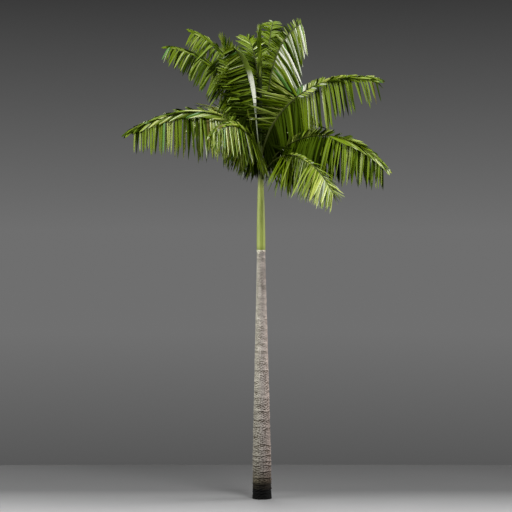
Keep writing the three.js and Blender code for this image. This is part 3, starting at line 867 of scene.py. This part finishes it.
def crosses_column(centres):
    """Which leaflets would run through the crownshaft."""
    height = centres[..., 2]
    apart = np.hypot(centres[..., 0] - axis_x(height), centres[..., 1])
    return ((height < HEART_HEIGHT) & (apart < CROSSING * column_radius(height))).any(1)


def leaflet_blades(centres, tangents, along, width, sign, seed):
    """Points of blades round these centre lines, some abreast at each step and one at the tip."""
    at = np.arange(LEAFLET_STEPS) / LEAFLET_STEPS
    across = unit(along[:, None] - (along[:, None] * tangents).sum(-1, keepdims=True) * tangents)
    over = sign * np.cross(tangents, across)
    turn = (LEAFLET_TILT + LEAFLET_TWIST * jitter(seed + TWIST_SEED)[:, None] * at)[..., None]
    across, over = across * np.cos(turn) + over * np.sin(turn), over * np.cos(turn) - across * np.sin(turn)
    profile = LEAFLET_ROOT + (1 - LEAFLET_ROOT) * smooth(at / LEAFLET_SHOULDER)
    profile = profile * np.sqrt(1 - at**LEAFLET_TAPER_POWER)
    half = 0.5 * width[:, None] * profile
    rise = LEAFLET_PLEAT * (np.abs(ABREAST) == RIDGE_AT) - LEAFLET_FOLD * np.abs(ABREAST)
    blade = centres[:, :-1, None] + across[:, :, None] * (half[..., None] * ABREAST)[..., None]
    blade = blade + over[:, :, None] * (half[..., None] * rise)[..., None]
    return np.concatenate([blade.reshape(len(centres), -1, 3), centres[:, -1:]], 1)


def pick_tints(shares, lot):
    """The tints' numbers for lots from 0 to 1."""
    return np.searchsorted(shares.cumsum() / shares.sum(), lot)


def leaflet_tints(frond, row, share, index, banded):
    """Tints dealt out spray by spray: painted shade makes them the deepest in the crown's heart, and bright
    and pale ones on tufts are painted highlights.
    """
    right = row == 0
    pale_highlight_row = frond.name == PALE_PAINTED_HIGHLIGHT_FROND and right
    spray = index // (1 if pale_highlight_row else SPRAY)
    seed = FROND_SEED * frond.rise + SPRAY_SEED * spray + ROW_SEED * right + TINT_SEED
    # Painted shade of the crown's heart: lower lots pick deeper tints
    reach = frond.heart[row] if frond.heart else by_uprightness(PAINTED_SHADE_REACH, frond)
    painted_shade = 1 - smooth((share - PAINTED_SHADE_FROM) / (reach - PAINTED_SHADE_FROM))
    lot = (0.5 + 0.5 * jitter(seed)) * (1 - np.where(banded, BAND_PAINTED_SHADE, 1) * painted_shade)
    arching, upright, bright, pale = np.array([tint.shares for tint in TINTS.values()]).T
    shares = by_uprightness((arching, upright), frond)
    # Painted light: lit rows take brighter tints
    shares = shares + (bright - shares) * frond.light[row]
    tint = pick_tints(pale if pale_highlight_row else shares, lot)
    # Tufts take bright and pale tints as painted highlights
    return np.where(banded & in_tuft(frond, share), pick_tints(bright + pale, lot), tint)


def leaflets(frond, row):
    """One row of a frond: the points of its leaflets, and their tints."""
    count = round(by_uprightness(LEAFLETS_PER_ROW, frond))
    index = np.arange(count)
    last = by_uprightness(LAST_LEAFLET, frond)
    share = frond.first + (last - frond.first) * (index + ROW_STARTS[row]) / count
    seed = FROND_SEED * frond.rise + 2 * index + (row == 0)
    centres, tangents, along, width, banded = leaflet_lines(frond, row, share, index, seed)
    points = leaflet_blades(centres, tangents, along, width, ROW_SIGNS[row], seed)
    points[:, len(ABREAST):] = clear_of_column(points[:, len(ABREAST):])
    tints = leaflet_tints(frond, row, share, index, banded)
    free = ~crosses_column(centres)
    return points[free], tints[free]


def spear_leaflets():
    """Leaflets of the young leaf that have begun to part from it, and their tints."""
    index = np.arange(SPEAR_LEAFLETS)
    share = between((SPEAR_LEAFLET_FIRST, SPEAR_LEAFLET_LAST), index / (SPEAR_LEAFLETS - 1))
    kind = index % len(SPEAR_LEAFLET_TINTS)
    angle = GOLDEN_ANGLE * index
    outward = np.stack([np.cos(angle), np.sin(angle), 0 * angle], -1)
    middle, height = spear_axis(share)
    length = np.minimum(SPEAR_LEAFLET_LENGTH, (SPEAR_TOP - height) * (1 - SPEAR_LEAFLET_SHORTER * kind))
    root = np.stack([middle, 0 * middle, height], -1) + SPEAR_LEAFLET_ROOT * SPEAR_FOOT_RADIUS * outward
    lean = np.radians(SPEAR_LEAFLET_LEAN) * (0.5 + np.linspace(0, 1, LEAFLET_STEPS))
    upward, aside = np.cos(lean)[None, :, None], np.sin(lean)[None, :, None]
    ways = upward * np.array([0, 0, 1]) + aside * outward[:, None]
    centres = line_points(root, ways, length)
    along = np.cross([0, 0, 1], outward)
    width = np.full(SPEAR_LEAFLETS, SPEAR_LEAFLET_WIDTH)
    tints = np.array([list(TINTS).index(name) for name in SPEAR_LEAFLET_TINTS])
    return leaflet_blades(centres, unit(ways), along, width, 1, index), tints[kind]


def leaflet_faces():
    """Faces of one leaflet: strips of quads, then a fan to the tip."""
    abreast = len(ABREAST)
    faces = []
    for step in range(LEAFLET_STEPS - 1):
        for lane in range(abreast - 1):
            corner = abreast * step + lane
            faces.append([corner, corner + 1, corner + abreast + 1, corner + abreast])
    last = abreast * (LEAFLET_STEPS - 1)
    tip = [[last + lane, last + lane + 1, last + abreast] for lane in range(abreast - 1)]
    return faces + tip


def build_leaflets(nodes):
    """All leaflets, joined into one piece for each tint."""
    groups = [leaflets(frond, row) for frond in FRONDS for row in (0, 1)] + [spear_leaflets()]
    points = np.concatenate([group[0] for group in groups])
    tints = np.concatenate([group[1] for group in groups])
    template = leaflet_faces()
    for number, (name, tint) in enumerate(TINTS.items()):
        chosen = points[tints == number]
        starts = chosen.shape[1] * np.arange(len(chosen))
        faces = [[start + corner for corner in face] for start in starts.tolist() for face in template]
        material = leaf_material(f"leaf_{name}", tint)
        add_piece(f"leaflets_{name}", chosen.reshape(-1, 3), faces, material, nodes, crease=35)


def build_palm():
    nodes = sorted(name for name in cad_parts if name.startswith("frond_"))
    broad = [frond for frond in FRONDS if frond.name == BROAD_FROND]
    others = [frond for frond in FRONDS if frond.name != BROAD_FROND]
    build_trunk()
    build_crownshaft()
    build_spear()
    build_midribs("midribs", others, 0, midrib_material(), nodes)
    build_midribs("midrib_broad", broad, BROAD_SWELL, broad_midrib_material(), nodes)
    build_leaflets(nodes)


def add_floor():
    """A flat floor, its outline a rounded oblong, with painted light falloff: darker towards the back."""
    material, tree, shader = new_material("floor")
    depth = spread_to(tree, coordinate(tree, "Y"), FLOOR_PAINTED_FALLOFF_FROM, FLOOR_HALF_DEPTH)
    # Painted light falloff: darker towards the back
    painted_falloff = grey_ramp(tree, depth, FLOOR_PAINTED_FALLOFF)
    clouds = grey_ramp(tree, noise(tree, (0.4, 0.4, 0.4), 3), FLOOR_CLOUDS)
    tree.links.new(multiply(tree, painted_falloff, clouds), shader.inputs["Base Color"])
    set_gloss(shader, roughness=0.8, specular=0.03)
    angle = round_angles(FLOOR_POINTS)
    across, deep = (np.sign(wave) * np.sqrt(np.abs(wave)) for wave in (np.cos(angle), np.sin(angle)))
    outline = np.stack([FLOOR_HALF_WIDTH * across, FLOOR_HALF_DEPTH * deep, 0 * angle - FLOOR_DROP], -1)
    floor = add_mesh("floor", outline, [list(range(FLOOR_POINTS))], material)


def add_world():
    """A plain grey backdrop, darker towards the top."""
    world = bpy.data.worlds.new("studio")
    bpy.context.scene.world = world
    world.use_nodes = True
    tree = world.node_tree
    rise = coordinate(tree, "Z", "Generated")
    height = spread_to(tree, rise, -BACKDROP_HALF_HEIGHT, BACKDROP_HALF_HEIGHT)
    tree.links.new(grey_ramp(tree, height, BACKDROP_GREYS), tree.nodes["Background"].inputs["Color"])


def add_sun(name, place, strength, width):
    data = bpy.data.lights.new(name, "SUN")
    data.energy = strength
    data.angle = math.radians(width)
    light = add_object(name, data)
    light.location = place
    light.rotation_euler = (-Vector(place)).to_track_quat("-Z", "Y").to_euler()


def add_camera():
    data = bpy.data.cameras.new("camera")
    data.lens = CAMERA_LENS
    data.sensor_width = CAMERA_SENSOR
    data.clip_end = CAMERA_SIGHT
    camera = add_object("camera", data)
    camera.location = CAMERA_PLACE
    camera.rotation_euler = (math.pi / 2, 0, 0)
    bpy.context.scene.camera = camera


add_camera()
build_palm()
add_floor()
add_world()
for name, sun in SUNS.items():
    add_sun(name, *sun)
bpy.context.scene.view_settings.view_transform = "Standard"
